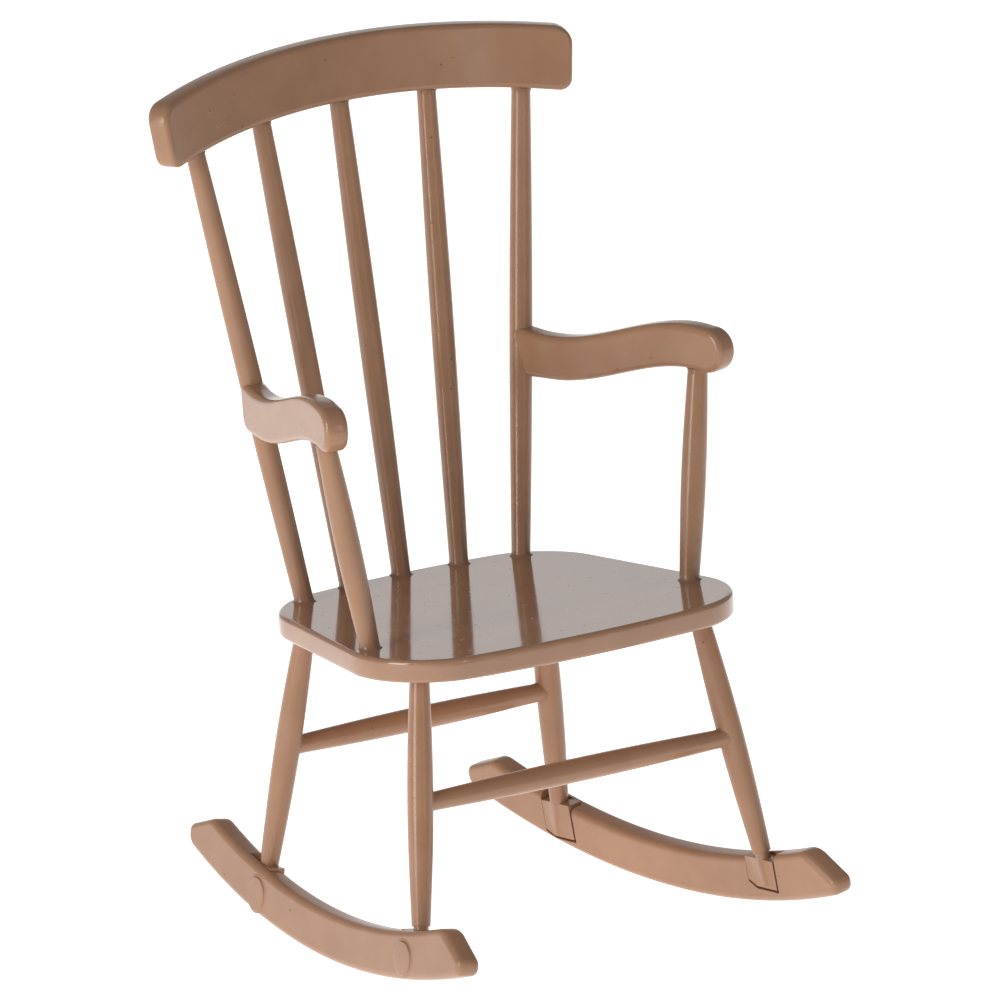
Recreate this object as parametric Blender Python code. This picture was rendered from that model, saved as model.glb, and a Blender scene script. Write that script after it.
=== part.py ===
"""A miniature rocking chair in painted cast metal, as 23 separate pieces.

The chair is designed level, in the chair frame: the seat top is horizontal, +Z is up, the sitter
faces -Y and +X is the sitter's left. One empty then leans the whole chair back to the attitude in
which it balances on its rockers, and stands it on z = 0 with its box centred on the origin.
"""

import math
from collections import namedtuple

import bmesh
import bpy
from mathutils import Matrix, Vector

MM = 0.001

# Whole chair
REST_LEAN = math.radians(6.0)  # how far it leans back when it stands still on its rockers
CLEARANCE = 0.08 * MM  # all round a rod in its socket, a tab in its slot and a pin in its hole
ROD_SIDES = 16
EDGE_STEPS = 2
EDGE_ANGLE = math.radians(50)  # edges sharper than this are rounded
SMOOTH_ANGLE = math.radians(35)  # edges sharper than this show as edges

# Seat: a thin slab, wider in front than behind, with round corners and bowed ends
SEAT_TOP = 46.3 * MM
SEAT_THICK = 3.1 * MM
SEAT_FRONT = -23.3 * MM
SEAT_BACK = 18.9 * MM
SEAT_FRONT_HALF = 30.5 * MM
SEAT_BACK_HALF = 22.9 * MM
SEAT_CORNER = 9.9 * MM
SEAT_FRONT_BOW = 3.3 * MM
SEAT_BACK_BOW = 2.1 * MM
SEAT_EDGE = 0.6 * MM
SEAT_SPACING = 3.5 * MM  # between the points along an edge
SEAT_SOCKET = 1.2 * MM  # depth of every rod in the seat, from above and from below

# Back: five alike rods that fan out from the seat to the crest rail
SPINDLE_END = 2.55 * MM
SPINDLE_MIDDLE = 3.1 * MM
SPINDLE_FOOT_ARC = 54.0 * MM
SPINDLE_FOOT_Y = 19.6 * MM  # middle rod, on the seat top
SPINDLE_FOOT_STEP = math.radians(9.3)
SPINDLE_HEAD_STEP = math.radians(9.6)
SPINDLE_SOCKET = 3.0 * MM

# Crest rail: a bar bent round the sitter's shoulders, arched along its lower and upper edges
CREST_ARC = 78.5 * MM
CREST_Y = 27.9 * MM  # middle of the rail, at its lower edge
CREST_BOTTOM = 109.6 * MM
CREST_HIGH = 8.5 * MM
CREST_THICK = 3.2 * MM
CREST_HALF_LENGTH = 33.0 * MM
CREST_ARCH = 184.0 * MM
CREST_CORNER = 2.1 * MM
CREST_EDGE = 0.6 * MM
CREST_RAKE = 0.12  # how far back it leans for each unit of height
CREST_FLARE = 0.75  # 1 would cut the ends square to the arched edges
CREST_STEPS = 16

# Arms: flat blades on edge, with a slow S along them and a round front end
ARM_HIGH = 6.0 * MM
ARM_THICK = 3.3 * MM
ARM_REAR_Z = 72.95 * MM
ARM_RISE = 4.3 * MM
ARM_RISE_FROM = 6.0 * MM  # along the arm from the back rod
ARM_CROWN = 1.0 * MM  # from the highest point of the middle line forwards to the arm post
ARM_DROOP = 1.0 * MM  # of the middle line from there to the tip
ARM_NOSE = 5.6 * MM  # from the arm post to the tip
ARM_TAIL = 0.6 * MM  # behind the axis of the back rod
ARM_TAIL_CORNER = 1.1 * MM
ARM_HEEL_CORNER = 2.2 * MM
ARM_FLARE = 0.7 * MM  # of the top edge, at the back rod
ARM_FLARE_RUN = 5.0 * MM
ARM_OUTSET = 0.45 * MM  # of the blade's middle plane from the back rod's axis
ARM_EDGE = 0.6 * MM
ARM_SOCKET = 1.6 * MM
ARM_STEPS = 14

# Arm posts: where each stands on the seat and where it meets the arm, for the +X side
POST_END = 2.65 * MM
POST_MIDDLE = 3.35 * MM
POST_FOOT = Vector((25.3 * MM, -11.4 * MM))
POST_HEAD = Vector((29.4 * MM, -10.1 * MM))

# Legs: where each meets the seat's underside and the rocker's top, for the +X side
LEG_HEAD = 2.6 * MM
LEG_MIDDLE = 3.45 * MM
LEG_FOOT = 2.5 * MM
LEG_TOPS = {"front": Vector((22.1 * MM, -18.0 * MM)), "rear": Vector((18.5 * MM, 14.8 * MM))}
LEG_FEET = {"front": Vector((27.0 * MM, -22.4 * MM)), "rear": Vector((23.1 * MM, 20.1 * MM))}
FOOT_Z = 10.95 * MM

# Stretchers: one between the front legs and one between the rear legs
STRETCHER_END = 2.5 * MM
STRETCHER_MIDDLE = 3.2 * MM
STRETCHER_Z = {"front": 26.6 * MM, "rear": 27.0 * MM}
TENON = 1.5 * MM
TENON_IN_LEG = 0.9 * MM

# Rockers: bars cut to two arcs, canted outwards at the bottom in line with the legs. Along is
# measured forwards from halfway between the feet, and up from the height of the feet.
ROCKER_THICK = 3.3 * MM
ROCKER_FRONT = 36.8 * MM
ROCKER_REAR = -40.0 * MM
ROCKER_BOTTOM_ARC = 118.8 * MM
ROCKER_BOTTOM = Vector((2.9 * MM, -8.6 * MM))  # lowest point of the bottom arc
ROCKER_TOP_ARC = 106.7 * MM
ROCKER_TOP = Vector((2.0 * MM, -2.4 * MM))  # lowest point of the top arc
ROCKER_NOSE = 1.9 * MM  # height of the blunt front end
ROCKER_CHAMFER = 5.6 * MM  # length along, of the cut on top of the front end
ROCKER_TAIL = 2.5 * MM
ROCKER_TAIL_CUT = 6.2 * MM
ROCKER_NOSE_CORNER = 1.2 * MM  # radius, in the side view, of both corners of the nose
ROCKER_CHAMFER_CORNER = 3.2 * MM
ROCKER_HEEL_CORNER = 1.9 * MM
ROCKER_TAIL_CORNER = 1.1 * MM
ROCKER_CROWN_CORNER = 2.6 * MM
ROCKER_EDGE = 0.6 * MM
ROCKER_STEPS = 12
LEG_INSET = 0.8 * MM  # of the leg's axis from the rocker's inner face

# Joints between legs and rockers: a flat tab in a slot, held by a round-headed pin
TAB_WIDE = 5.7 * MM
TAB_DEEP = 2.1 * MM
TAB_DROP = 5.0 * MM  # below the height of the feet
TAB_GAP = 0.35 * MM  # left open in front of the tab and below it
TAB_CUT = 1.6 * MM  # of the tab's lower rear corner
TAB_LOW = 0.3 * MM  # of the tab's top below the rocker's
SLOT_ROOF = 4.0 * MM  # above the height of the feet, clear of the rocker's top
PIN_HEAD = 4.5 * MM
PIN_HEAD_THICK = 0.5 * MM
PIN_PROUD = 0.2 * MM
PIN_SHANK = 1.6 * MM
PIN_DROP = 0.4 * MM  # below the middle of the rocker's height
PIN_AHEAD = {"front": 0.2 * MM, "rear": 1.6 * MM}  # of the leg's foot
PIN_IN_TAB = 1.0 * MM

ENAMEL = (0.40, 0.22, 0.13, 1.0)

# A round rod: its name, the two points where it leaves its sockets, its diameters at the ends and
# in the middle, and its depth in each socket
Rod = namedtuple("Rod", "name foot head foot_wide middle_wide head_wide foot_in head_in")
SIDES = {"right": -1, "left": 1}  # the sitter's right and left


def clear_scene():
    for old in list(bpy.data.objects):
        bpy.data.objects.remove(old, do_unlink=True)


def enamel(name):
    """Hard gloss paint over cast metal."""
    material = bpy.data.materials.new(name + "_enamel")
    material.use_nodes = True
    shader = material.node_tree.nodes["Principled BSDF"]
    shader.inputs["Base Color"].default_value = ENAMEL
    shader.inputs["Roughness"].default_value = 0.3
    shader.inputs["Metallic"].default_value = 0.0
    return material


def add_piece(name, bm, matrix, root):
    mesh = bpy.data.meshes.new(name)
    bm.to_mesh(mesh)
    bm.free()
    mesh.shade_smooth()
    mesh.set_sharp_from_angle(angle=SMOOTH_ANGLE)
    piece = bpy.data.objects.new(name, mesh)
    bpy.context.scene.collection.objects.link(piece)
    piece.parent = root
    piece.matrix_local = matrix
    piece.data.materials.append(enamel(name))
    return piece


def add_helper(name, bm, root):
    """A cutter or a shape to join on, in the chair frame."""
    mesh = bpy.data.meshes.new(name)
    bm.to_mesh(mesh)
    bm.free()
    helper = bpy.data.objects.new(name, mesh)
    bpy.context.scene.collection.objects.link(helper)
    helper.parent = root
    helper.hide_render = True
    helper.display_type = "WIRE"
    return helper


def boolean(piece, helper, operation="DIFFERENCE"):
    modifier = piece.modifiers.new(helper.name, "BOOLEAN")
    modifier.operation = operation
    modifier.object = helper
    modifier.solver = "EXACT"


def round_edges(piece, radius):
    modifier = piece.modifiers.new("round_edges", "BEVEL")
    modifier.width = radius
    modifier.segments = EDGE_STEPS
    modifier.limit_method = "ANGLE"
    modifier.angle_limit = EDGE_ANGLE
    modifier.harden_normals = False


# Shapes


def frame_matrix(origin, along, up):
    """X runs along, Y runs up, and Z is square to both."""
    x = along.normalized()
    z = x.cross(up).normalized()
    y = z.cross(x)
    return Matrix.Translation(origin) @ Matrix((x, y, z)).transposed().to_4x4()


def axis_matrix(start, end):
    """Z runs from start to end."""
    turn = (end - start).to_track_quat("Z", "Y").to_matrix().to_4x4()
    return Matrix.Translation(start) @ turn


def face_outwards(bm):
    bmesh.ops.recalc_face_normals(bm, faces=bm.faces)
    if bm.calc_volume(signed=True) < 0:
        bmesh.ops.reverse_faces(bm, faces=bm.faces)


def turned(profile):
    """A closed solid of revolution about Z, from (radius, height) points, both ends on the axis."""
    bm = bmesh.new()
    points = [bm.verts.new((radius, 0, height)) for radius, height in profile]
    edges = [bm.edges.new(pair) for pair in zip(points, points[1:])]
    bmesh.ops.spin(
        bm,
        geom=points + edges,
        axis=(0, 0, 1),
        cent=(0, 0, 0),
        angle=2 * math.pi,
        steps=ROD_SIDES,
        use_merge=True,
    )
    bmesh.ops.remove_doubles(bm, verts=bm.verts, dist=1e-6)
    face_outwards(bm)
    return bm


def filleted(corners, steps=5):
    """A closed outline through (point, radius) corners, with each corner rounded to its radius."""
    outline = []
    for i, (point, radius) in enumerate(corners):
        if not radius:
            outline.append(point)
            continue
        back = (corners[i - 1][0] - point).normalized()
        ahead = (corners[(i + 1) % len(corners)][0] - point).normalized()
        half = back.angle(ahead) / 2
        centre = point + (back + ahead).normalized() * radius / math.sin(half)
        first = point + back * radius / math.tan(half) - centre
        last = point + ahead * radius / math.tan(half) - centre
        sweep = first.angle_signed(last)
        for step in range(steps + 1):
            arm = first.copy()
            arm.rotate(Matrix.Rotation(-sweep * step / steps, 2))
            outline.append(centre + arm)
    return outline


def plate(outline, low, high):
    """A flat plate in the XY plane, between two heights."""
    bm = bmesh.new()
    face = bm.faces.new([bm.verts.new((point.x, point.y, low)) for point in outline])
    grown = bmesh.ops.extrude_face_region(bm, geom=[face])
    top = [item for item in grown["geom"] if isinstance(item, bmesh.types.BMVert)]
    bmesh.ops.translate(bm, vec=(0, 0, high - low), verts=top)
    face_outwards(bm)
    return bm


def add_cylinder(bm, start, end, radius):
    matrix = axis_matrix((start + end) / 2, end)
    bmesh.ops.create_cone(
        bm,
        cap_ends=True,
        segments=ROD_SIDES,
        radius1=radius,
        radius2=radius,
        depth=(end - start).length,
        matrix=matrix,
    )


def on_side(point, z, side):
    return Vector((side * point.x, point.y, z))


# Rods


def rod_radius(rod, share):
    """The swelling radius at a share of the way from foot to head."""
    ends = rod.foot_wide * (1 - share) + rod.head_wide * share
    swell = rod.middle_wide - (rod.foot_wide + rod.head_wide) / 2
    return (ends + swell * math.sin(math.pi * share)) / 2


def rod_point(rod, distance):
    return rod.foot + (rod.head - rod.foot).normalized() * distance


def rod_at_height(rod, z):
    share = (z - rod.foot.z) / (rod.head.z - rod.foot.z)
    return rod.foot.lerp(rod.head, share), rod_radius(rod, share)


def rod_mesh(rod, rings=6):
    length = (rod.head - rod.foot).length
    profile = [(0, -rod.foot_in), (rod.foot_wide / 2, -rod.foot_in)]
    profile += [(rod_radius(rod, i / rings), length * i / rings) for i in range(rings + 1)]
    profile += [(rod.head_wide / 2, length + rod.head_in), (0, length + rod.head_in)]
    return turned(profile)


def add_rod(rod, root):
    return add_piece(rod.name, rod_mesh(rod), axis_matrix(rod.foot, rod.head), root)


def cut_foot_socket(bm, rod):
    """A blind hole that takes the rod's foot, open past the surface."""
    bottom = rod_point(rod, -rod.foot_in - CLEARANCE)
    mouth = rod_point(rod, rod.foot_wide / 2)
    add_cylinder(bm, bottom, mouth, rod.foot_wide / 2 + CLEARANCE)


def cut_head_socket(bm, rod):
    length = (rod.head - rod.foot).length
    top = rod_point(rod, length + rod.head_in + CLEARANCE)
    mouth = rod_point(rod, length - rod.head_wide / 2)
    add_cylinder(bm, mouth, top, rod.head_wide / 2 + CLEARANCE)


# Back


def crest_point(angle, up, depth):
    """A point of the rail at an angle round its arc, a height above its lower edge at the middle
    and a depth behind its middle surface."""
    radius = CREST_ARC + depth
    arch = (CREST_ARC * angle) ** 2 / (2 * CREST_ARCH)
    angle *= 1 + CREST_FLARE * up / CREST_ARCH
    across = radius * math.sin(angle)
    back = CREST_Y - CREST_ARC + radius * math.cos(angle) + CREST_RAKE * (up - arch)
    return Vector((across, back, CREST_BOTTOM + up - arch))


def spindles():
    names = {
        -2: "back_spindle_outer_right",
        -1: "back_spindle_inner_right",
        0: "back_spindle_centre",
        1: "back_spindle_inner_left",
        2: "back_spindle_outer_left",
    }
    rods = {}
    for place, name in names.items():
        angle = place * SPINDLE_FOOT_STEP
        x = SPINDLE_FOOT_ARC * math.sin(angle)
        y = SPINDLE_FOOT_Y - SPINDLE_FOOT_ARC * (1 - math.cos(angle))
        foot = Vector((x, y, SEAT_TOP))
        head = crest_point(place * SPINDLE_HEAD_STEP, 0, 0)
        rods[place] = Rod(
            name, foot, head, SPINDLE_END, SPINDLE_MIDDLE, SPINDLE_END, SEAT_SOCKET, SPINDLE_SOCKET
        )
    return rods


def make_crest(rods, root):
    corners = [
        (Vector((end * CREST_HALF_LENGTH, up)), CREST_CORNER)
        for end, up in ((-1, 0), (1, 0), (1, CREST_HIGH), (-1, CREST_HIGH))
    ]
    bm = plate(filleted(corners), -CREST_THICK / 2, CREST_THICK / 2)
    for i in range(1, CREST_STEPS):
        x = CREST_HALF_LENGTH * (2 * i / CREST_STEPS - 1)
        geom = bm.verts[:] + bm.edges[:] + bm.faces[:]
        bmesh.ops.bisect_plane(bm, geom=geom, plane_co=(x, 0, 0), plane_no=(1, 0, 0), dist=1e-7)
    middle = crest_point(0, 0, 0)
    for vert in bm.verts:
        # The flat plate's thickness, its Z, becomes depth towards the front.
        vert.co = crest_point(vert.co.x / CREST_ARC, vert.co.y, -vert.co.z) - middle
    face_outwards(bm)
    crest = add_piece("crest_rail", bm, Matrix.Translation(middle), root)
    round_edges(crest, CREST_EDGE)
    cutter = bmesh.new()
    for rod in rods.values():
        cut_head_socket(cutter, rod)
    boolean(crest, add_helper("crest_sockets", cutter, root))


# Arms and their posts


def arm_line(side, outer):
    """The rear end and the direction of an arm's middle line in plan, and its length to the post."""
    rod_centre, _ = rod_at_height(outer, ARM_REAR_Z)
    post = Vector((side * POST_HEAD.x, POST_HEAD.y))
    start = Vector((rod_centre.x + side * ARM_OUTSET, rod_centre.y))
    return start, (post - start).normalized(), (post - start).length


def arm_middle(distance, length):
    """The height of the arm's middle line: level behind, then a smooth rise to the front, and a
    slight droop of the nose."""
    crown = length - ARM_CROWN
    share = (distance - ARM_RISE_FROM) / (crown - ARM_RISE_FROM)
    share = min(max(share, 0), 1)
    past = max(distance - crown, 0) / (ARM_CROWN + ARM_NOSE)
    return ARM_REAR_Z + ARM_RISE * share * share * (3 - 2 * share) - ARM_DROOP * past * past


def arm_top(distance, length):
    flare = max(1 - distance / ARM_FLARE_RUN, 0)
    return arm_middle(distance, length) + ARM_HIGH / 2 + ARM_FLARE * flare * flare


def arm_outline(length, rake):
    """In the arm's own plane: distance along from the back rod, and height above the rear end. The
    rear end is cut along the back rod, which moves forwards by the rake for each unit of height."""
    reach = length + ARM_NOSE - ARM_HIGH / 2
    run = reach - ARM_HEEL_CORNER
    stations = [ARM_HEEL_CORNER + run * i / ARM_STEPS for i in range(ARM_STEPS + 1)]
    middles = [arm_middle(x, length) - ARM_REAR_Z for x in stations]
    under = [Vector((x, z - ARM_HIGH / 2)) for x, z in zip(stations, middles)]
    over = [Vector((x, arm_top(x, length) - ARM_REAR_Z)) for x in stations]
    nose = []
    for i in range(1, 10):
        angle = math.pi * (i / 10 - 0.5)
        turn = Vector((math.cos(angle), math.sin(angle))) * ARM_HIGH / 2
        nose.append(Vector((reach, middles[-1])) + turn)
    top = arm_top(0, length) - ARM_REAR_Z
    low, high = (Vector((-ARM_TAIL + rake * z, z)) for z in (-ARM_HIGH / 2, top))
    corners = [(low, ARM_HEEL_CORNER)]
    corners += [(point, 0) for point in under + nose + over[::-1]]
    corners.append((high, ARM_TAIL_CORNER))
    return filleted(corners, steps=3)


def make_arm(name, side, outer, post, root):
    start, ahead, length = arm_line(side, outer)
    back = outer.head - outer.foot
    rake = (back.x * ahead.x + back.y * ahead.y) / back.z
    bm = plate(arm_outline(length, rake), -ARM_THICK / 2, ARM_THICK / 2)
    origin = Vector((start.x, start.y, ARM_REAR_Z))
    matrix = frame_matrix(origin, Vector((ahead.x, ahead.y, 0)), Vector((0, 0, 1)))
    arm = add_piece(name, bm, matrix, root)
    round_edges(arm, ARM_EDGE)
    cutter = bmesh.new()
    low = rod_at_height(outer, ARM_REAR_Z - 2 * ARM_HIGH)[0]
    high = rod_at_height(outer, ARM_REAR_Z + 2 * ARM_HIGH)[0]
    add_cylinder(cutter, low, high, SPINDLE_MIDDLE / 2 + CLEARANCE)
    cut_head_socket(cutter, post)
    boolean(arm, add_helper(name + "_sockets", cutter, root))


def post_rod(side_name, side, outer):
    _, _, length = arm_line(side, outer)
    under_arm = arm_middle(length, length) - ARM_HIGH / 2
    foot = on_side(POST_FOOT, SEAT_TOP, side)
    head = on_side(POST_HEAD, under_arm, side)
    name = "arm_post_" + side_name
    return Rod(name, foot, head, POST_END, POST_MIDDLE, POST_END, SEAT_SOCKET, ARM_SOCKET)


# Seat


def seat_outline():
    corners = [
        (Vector((-SEAT_FRONT_HALF, SEAT_FRONT)), SEAT_CORNER),
        (Vector((SEAT_FRONT_HALF, SEAT_FRONT)), SEAT_CORNER),
        (Vector((SEAT_BACK_HALF, SEAT_BACK)), SEAT_CORNER),
        (Vector((-SEAT_BACK_HALF, SEAT_BACK)), SEAT_CORNER),
    ]
    straight = filleted(corners, steps=9)
    # The long edges need points of their own before they bow.
    outline = []
    for point, after in zip(straight, straight[1:] + straight[:1]):
        outline.append(point)
        parts = max(1, round((after - point).length / SEAT_SPACING))
        outline += [point.lerp(after, i / parts) for i in range(1, parts)]
    for point in outline:
        share = (point.y - SEAT_FRONT) / (SEAT_BACK - SEAT_FRONT)
        half = SEAT_FRONT_HALF * (1 - share) + SEAT_BACK_HALF * share
        bow = SEAT_BACK_BOW * share - SEAT_FRONT_BOW * (1 - share)
        point.y += bow * (1 - (point.x / half) ** 2)
    return outline


def make_seat(from_above, from_below, root):
    bm = plate(seat_outline(), -SEAT_THICK, 0)
    seat = add_piece("seat", bm, Matrix.Translation((0, 0, SEAT_TOP)), root)
    round_edges(seat, SEAT_EDGE)
    cutter = bmesh.new()
    for rod in from_above:
        cut_foot_socket(cutter, rod)
    for rod in from_below:
        cut_head_socket(cutter, rod)
    boolean(seat, add_helper("seat_sockets", cutter, root))


# Rockers, legs and pins


def rocker_frame(side):
    """Origin on the rocker's inner face halfway between the feet, X forwards, Y up along the legs.
    Z points to the sitter's right, so it is outwards on the right and inwards on the left."""
    front = on_side(LEG_FEET["front"], FOOT_Z, side)
    rear = on_side(LEG_FEET["rear"], FOOT_Z, side)
    along = (front - rear).normalized()
    lean = Vector((0, 0, 0))
    for end in ("front", "rear"):
        top = on_side(LEG_TOPS[end], SEAT_TOP - SEAT_THICK, side)
        foot = on_side(LEG_FEET[end], FOOT_Z, side)
        lean += (top - foot).normalized()
    matrix = frame_matrix((front + rear) / 2, along, lean)
    outwards = -1 if side > 0 else 1
    return matrix @ Matrix.Translation((0, 0, -outwards * LEG_INSET)), outwards


def foot_along(end):
    """Where a leg stands along the rocker, forwards from halfway between the feet."""
    half = (LEG_FEET["front"] - LEG_FEET["rear"]).length / 2
    return half if end == "front" else -half


def arc_height(x, low, radius):
    return low.y + radius - math.sqrt(radius**2 - (x - low.x) ** 2)


def rocker_outline():
    """Along and up, in the rocker's own plane."""

    def on_bottom(x):
        return Vector((x, arc_height(x, ROCKER_BOTTOM, ROCKER_BOTTOM_ARC)))

    def on_top(x):
        return Vector((x, arc_height(x, ROCKER_TOP, ROCKER_TOP_ARC)))

    def between(first, last):
        return [first + (last - first) * i / ROCKER_STEPS for i in range(1, ROCKER_STEPS)]

    toe = on_bottom(ROCKER_FRONT)
    heel = on_bottom(ROCKER_REAR)
    chamfer = on_top(ROCKER_FRONT - ROCKER_CHAMFER)
    crown = on_top(ROCKER_REAR + ROCKER_TAIL_CUT)
    corners = [(heel, ROCKER_HEEL_CORNER)]
    corners += [(on_bottom(x), 0) for x in between(heel.x, toe.x)]
    corners.append((toe, ROCKER_NOSE_CORNER))
    corners.append((toe + Vector((0, ROCKER_NOSE)), ROCKER_NOSE_CORNER))
    corners.append((chamfer, ROCKER_CHAMFER_CORNER))
    corners += [(on_top(x), 0) for x in between(chamfer.x, crown.x)]
    corners.append((crown, ROCKER_CROWN_CORNER))
    corners.append((heel + Vector((0, ROCKER_TAIL)), ROCKER_TAIL_CORNER))
    return filleted(corners, steps=4)


def pin_centre(end):
    """On the rocker's inner face, in the rocker's frame."""
    along = foot_along(end) + PIN_AHEAD[end]
    top = arc_height(along, ROCKER_TOP, ROCKER_TOP_ARC)
    bottom = arc_height(along, ROCKER_BOTTOM, ROCKER_BOTTOM_ARC)
    return Vector((along, (top + bottom) / 2 - PIN_DROP, 0))


def slot_outline(end, room):
    """The slot, or with no room the tab that fills it, as seen from the side."""
    middle = foot_along(end)
    rear = middle - TAB_WIDE / 2 - (CLEARANCE if room else 0)
    front = middle + TAB_WIDE / 2 + (TAB_GAP if room else 0)
    floor = -TAB_DROP - (TAB_GAP if room else 0)
    roof = SLOT_ROOF if room else arc_height(middle, ROCKER_TOP, ROCKER_TOP_ARC) - TAB_LOW
    cut = Vector((rear + TAB_CUT, floor))
    return [
        Vector((rear, roof)),
        Vector((rear, floor + TAB_CUT / 2)),
        cut,
        Vector((front, floor)),
        Vector((front, roof)),
    ]


def make_rocker(side_name, side, root):
    matrix, outwards = rocker_frame(side)
    bm = plate(rocker_outline(), 0, outwards * ROCKER_THICK)
    rocker = add_piece("rocker_" + side_name, bm, matrix, root)
    round_edges(rocker, ROCKER_EDGE)
    for end in ("front", "rear"):
        slot = plate(slot_outline(end, True), -outwards * MM, outwards * (TAB_DEEP + 2 * CLEARANCE))
        slot.transform(matrix)
        boolean(rocker, add_helper(f"slot_{end}_{side_name}", slot, root))
        holes = bmesh.new()
        at = pin_centre(end)
        outside = Vector((0, 0, outwards))
        face = at + outside * ROCKER_THICK
        seat_depth = PIN_HEAD_THICK - PIN_PROUD + CLEARANCE
        ends = (matrix @ (face - outside * seat_depth), matrix @ (face + outside * MM))
        add_cylinder(holes, *ends, PIN_HEAD / 2 + CLEARANCE)
        boolean(rocker, add_helper(f"pin_seat_{end}_{side_name}", holes, root))
        bore = bmesh.new()
        ends = (matrix @ (at + outside * TAB_DEEP), matrix @ (face + outside * MM))
        add_cylinder(bore, *ends, PIN_SHANK / 2 + CLEARANCE)
        boolean(rocker, add_helper(f"pin_bore_{end}_{side_name}", bore, root))


def make_pin(end, side_name, side, root):
    matrix, outwards = rocker_frame(side)
    length = ROCKER_THICK + PIN_PROUD - TAB_DEEP + PIN_IN_TAB
    head, shank = PIN_HEAD / 2, PIN_SHANK / 2
    profile = [
        (0, 0),
        (head - PIN_PROUD, 0),
        (head, PIN_PROUD),
        (head, PIN_HEAD_THICK),
        (shank, PIN_HEAD_THICK),
        (shank, length),
        (0, length),
    ]
    outside = Vector((0, 0, outwards))
    at = pin_centre(end)
    top = matrix @ (at + outside * (ROCKER_THICK + PIN_PROUD))
    tip = matrix @ (at + outside * (ROCKER_THICK + PIN_PROUD - length))
    name = f"rocker_pin_{end}_{side_name}"
    add_piece(name, turned(profile), axis_matrix(top, tip), root)


def leg_rod(end, side_name, side):
    name = f"leg_{end}_{side_name}"
    foot = on_side(LEG_FEET[end], FOOT_Z, side)
    head = on_side(LEG_TOPS[end], SEAT_TOP - SEAT_THICK, side)
    return Rod(name, foot, head, LEG_FOOT, LEG_MIDDLE, LEG_HEAD, TAB_DROP, SEAT_SOCKET)


def stretcher_end(leg, end):
    return rod_at_height(leg, STRETCHER_Z[end])


def make_leg(leg, end, side_name, side, root):
    matrix, outwards = rocker_frame(side)
    piece = add_rod(leg, root)
    tab = plate(slot_outline(end, False), 0, outwards * TAB_DEEP)
    tab.transform(matrix)
    boolean(piece, add_helper(f"tab_{end}_{side_name}", tab, root), "UNION")
    holes = bmesh.new()
    outside = Vector((0, 0, outwards))
    at = pin_centre(end)
    deep = TAB_DEEP - PIN_IN_TAB - CLEARANCE
    ends = (matrix @ (at + outside * deep), matrix @ (at + outside * (TAB_DEEP + MM)))
    add_cylinder(holes, *ends, PIN_SHANK / 2 + CLEARANCE)
    centre, radius = stretcher_end(leg, end)
    inwards = Vector((-side, 0, 0))
    ends = (centre + inwards * (radius - TENON_IN_LEG - CLEARANCE), centre + inwards * 2 * radius)
    add_cylinder(holes, *ends, TENON / 2 + CLEARANCE)
    boolean(piece, add_helper(f"leg_holes_{end}_{side_name}", holes, root))


def make_stretcher(end, legs, root):
    """A rod coped to the round of the two legs, with a round tenon in each."""
    (right, radius), (left, _) = (stretcher_end(legs[end, name], end) for name in SIDES)
    name = "stretcher_" + end
    sizes = (STRETCHER_END, STRETCHER_MIDDLE, STRETCHER_END)
    piece = add_rod(Rod(name, right, left, *sizes, 0, 0), root)
    cope = bmesh.new()
    for side_name in SIDES:
        leg = legs[end, side_name]
        centre, radius = stretcher_end(leg, end)
        reach = (leg.head - leg.foot).normalized() * 3 * STRETCHER_END
        add_cylinder(cope, centre - reach, centre + reach, radius + CLEARANCE)
    boolean(piece, add_helper(name + "_cope", cope, root))
    tenons = bmesh.new()
    for centre in (right, left):
        inwards = Vector((-1 if centre.x > 0 else 1, 0, 0))
        start = centre + inwards * (radius - TENON_IN_LEG)
        add_cylinder(tenons, start, centre + inwards * 3 * radius, TENON / 2)
    boolean(piece, add_helper(name + "_tenons", tenons, root), "UNION")


def stand_on_origin(root):
    """Leans the chair back, then sets its box bottom centre on the origin."""
    root.rotation_euler = (-REST_LEAN, 0, 0)
    bpy.context.view_layer.update()
    graph = bpy.context.evaluated_depsgraph_get()
    corners = []
    for piece in root.children:
        if piece.hide_render:
            continue
        solid = piece.evaluated_get(graph)
        corners += [solid.matrix_world @ vert.co for vert in solid.data.vertices]
    low = Vector([min(corner[axis] for corner in corners) for axis in range(3)])
    high = Vector([max(corner[axis] for corner in corners) for axis in range(3)])
    root.location = (-(low.x + high.x) / 2, -(low.y + high.y) / 2, -low.z)
    bpy.context.view_layer.update()


clear_scene()
chair = bpy.data.objects.new("chair", None)
bpy.context.scene.collection.objects.link(chair)

back = spindles()
for spindle in back.values():
    add_rod(spindle, chair)
make_crest(back, chair)

posts = []
for side_name, side in SIDES.items():
    outer_spindle = back[2 * side]
    post = post_rod(side_name, side, outer_spindle)
    add_rod(post, chair)
    make_arm("arm_" + side_name, side, outer_spindle, post, chair)
    posts.append(post)

legs = {}
for side_name, side in SIDES.items():
    make_rocker(side_name, side, chair)
    for end in ("front", "rear"):
        leg = leg_rod(end, side_name, side)
        legs[end, side_name] = leg
        make_leg(leg, end, side_name, side, chair)
        make_pin(end, side_name, side, chair)
for end in ("front", "rear"):
    make_stretcher(end, legs, chair)

make_seat(list(back.values()) + posts, legs.values(), chair)
stand_on_origin(chair)
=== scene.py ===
import math

import bmesh
import bpy
from mathutils import Matrix, Vector


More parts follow.
